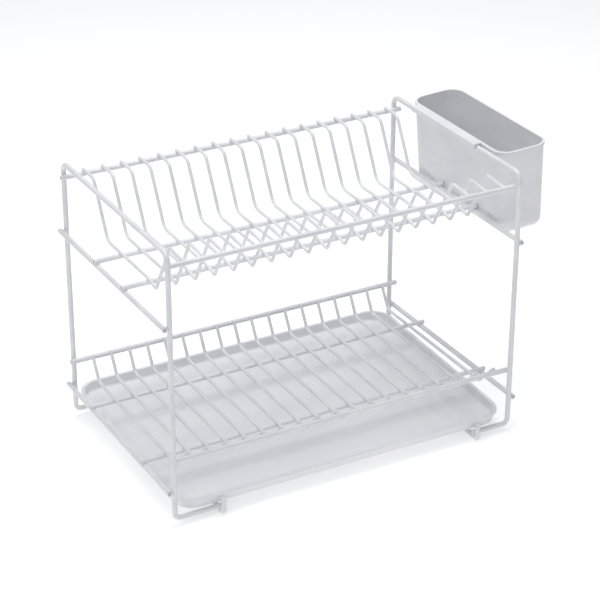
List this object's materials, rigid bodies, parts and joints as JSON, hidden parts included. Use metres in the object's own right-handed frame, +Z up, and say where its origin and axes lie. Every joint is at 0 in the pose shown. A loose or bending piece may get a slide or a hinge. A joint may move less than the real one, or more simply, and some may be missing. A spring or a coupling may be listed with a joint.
{
  "type": "dish drying rack",
  "caption": "Two-tier white wire dish drying rack with upright plate slots, a lower basket, a slide-out drip tray and a hang-on cutlery holder.",
  "frame": {"origin": "on the surface it stands on, under the middle of the whole object's box, cutlery holder included", "axes": "+X along the rack from the plain end to the cutlery holder, +Y from front to back, +Z up"},
  "size_m": [0.5119, 0.2921, 0.3335],
  "materials": {
    "coated_wire": "satin white plastic coating over steel wire",
    "tray_plastic": "smooth pale grey moulded plastic",
    "holder_plastic": "satin pale grey moulded plastic"
  },
  "bodies": {
    "rack": {"basket_back_rim": "coated_wire", "basket_front_rim": "coated_wire", "floor_rail_back": "coated_wire", "floor_rail_front": "coated_wire", "floor_wire_01": "coated_wire", "floor_wire_02": "coated_wire", "floor_wire_03": "coated_wire", "floor_wire_04": "coated_wire", "floor_wire_05": "coated_wire", "floor_wire_06": "coated_wire", "floor_wire_07": "coated_wire", "floor_wire_08": "coated_wire", "floor_wire_09": "coated_wire", "floor_wire_10": "coated_wire", "floor_wire_11": "coated_wire", "floor_wire_12": "coated_wire", "floor_wire_13": "coated_wire", "floor_wire_14": "coated_wire", "floor_wire_15": "coated_wire", "floor_wire_16": "coated_wire", "floor_wire_17": "coated_wire", "floor_wire_18": "coated_wire", "left_side_frame": "coated_wire", "left_skid": "coated_wire", "lower_side_rail_left": "coated_wire", "lower_side_rail_right": "coated_wire", "plate_wire_01": "coated_wire", "plate_wire_02": "coated_wire", "plate_wire_03": "coated_wire", "plate_wire_04": "coated_wire", "plate_wire_05": "coated_wire", "plate_wire_06": "coated_wire", "plate_wire_07": "coated_wire", "plate_wire_08": "coated_wire", "plate_wire_09": "coated_wire", "plate_wire_10": "coated_wire", "plate_wire_11": "coated_wire", "plate_wire_12": "coated_wire", "plate_wire_13": "coated_wire", "plate_wire_14": "coated_wire", "plate_wire_15": "coated_wire", "plate_wire_16": "coated_wire", "plate_wire_17": "coated_wire", "plate_wire_18": "coated_wire", "right_side_frame": "coated_wire", "right_skid": "coated_wire", "shelf_rail_back": "coated_wire", "shelf_rail_front": "coated_wire", "top_back_rail": "coated_wire", "top_front_rail": "coated_wire", "upper_side_rail_left": "coated_wire", "upper_side_rail_right": "coated_wire"},
    "tray": {"drip_tray": "tray_plastic"},
    "holder": {"cutlery_holder": "holder_plastic"}
  },
  "joints": [
    {"name": "tray_slide", "type": "slide", "parent": "rack", "child": "tray", "axis": [0, 1, 0], "range_m": [0, 0.29]},
    {"name": "holder_lift", "type": "slide", "parent": "rack", "child": "holder", "axis": [0, 0, 1], "range_m": [0, 0.12]}
  ]
}
